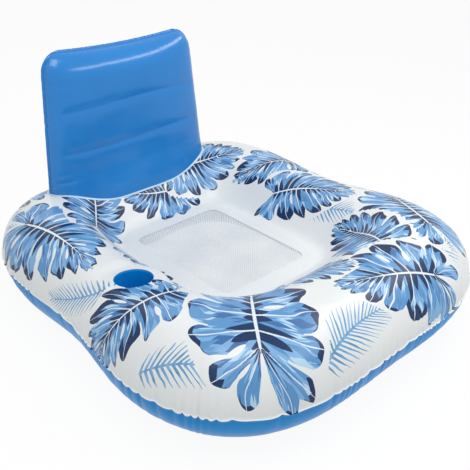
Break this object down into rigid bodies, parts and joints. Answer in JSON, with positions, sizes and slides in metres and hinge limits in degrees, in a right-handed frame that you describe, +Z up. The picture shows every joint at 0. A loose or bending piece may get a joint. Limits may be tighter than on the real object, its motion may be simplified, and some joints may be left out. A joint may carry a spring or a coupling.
{
  "type": "inflatable pool chair",
  "caption": "Square inflatable ring chair with a net seat, a cup well in one arm and an upright pillow backrest, blown up through push-in valves.",
  "frame": {"origin": "on the floor under the middle of the ring's outer seam", "axes": "+Z up, the sitter faces -Y with the cup well at the right hand, on the -X side"},
  "size_m": [1.0082, 1.0824, 0.6137],
  "materials": {
    "printed_film": "pearly white PVC film printed with blue leaves",
    "ring_film": "glossy mid-blue PVC film",
    "backrest_film": "glossy blue PVC film",
    "cup_film": "deep blue PVC film",
    "net": "white woven net",
    "valve": "soft milky PVC"
  },
  "bodies": {
    "root": {"ring_top_sheet": "printed_film", "ring_bottom_sheet": "ring_film", "seat_mesh": "net", "backrest_front_panel": "backrest_film", "backrest_rear_panel": "backrest_film", "backrest_upper_tie": "backrest_film", "backrest_lower_tie": "backrest_film", "cup_wall": "cup_film", "cup_floor": "cup_film", "ring_valve_base": "valve", "backrest_valve_base": "valve"},
    "ring_stem": {"ring_valve_stem": "valve"},
    "ring_plug": {"ring_valve_plug": "valve"},
    "ring_flap": {"ring_valve_flap": "valve"},
    "backrest_stem": {"backrest_valve_stem": "valve"},
    "backrest_plug": {"backrest_valve_plug": "valve"},
    "backrest_flap": {"backrest_valve_flap": "valve"}
  },
  "joints": [
    {"name": "ring_stem_slide", "type": "slide", "parent": "root", "child": "ring_stem", "axis": [0.457, 0.6242, 0.6337], "range_m": [0, 0.014]},
    {"name": "ring_plug_hinge", "type": "hinge", "parent": "ring_stem", "child": "ring_plug", "pos_m": [0.34831, 0.46837, 0.20903], "axis": [0.8069, -0.5907, 0], "range_deg": [0, 150]},
    {"name": "ring_flap_hinge", "type": "hinge", "parent": "ring_stem", "child": "ring_flap", "pos_m": [0.34112, 0.45855, 0.19208], "axis": [-0.8069, 0.5907, 0], "range_deg": [0, 50], "stiffness_Nm_per_rad": 0.0005},
    {"name": "backrest_stem_slide", "type": "slide", "parent": "root", "child": "backrest_stem", "axis": [0.054, 0.9985, -0.0108], "range_m": [0, 0.014]},
    {"name": "backrest_plug_hinge", "type": "hinge", "parent": "backrest_stem", "child": "backrest_plug", "pos_m": [0.09884, 0.46342, 0.31091], "axis": [0.9985, -0.0539, 0.0024], "range_deg": [0, 150]},
    {"name": "backrest_flap_hinge", "type": "hinge", "parent": "backrest_stem", "child": "backrest_flap", "pos_m": [0.09776, 0.44324, 0.30573], "axis": [-0.9985, 0.0539, -0.0024], "range_deg": [0, 50], "stiffness_Nm_per_rad": 0.0005}
  ]
}
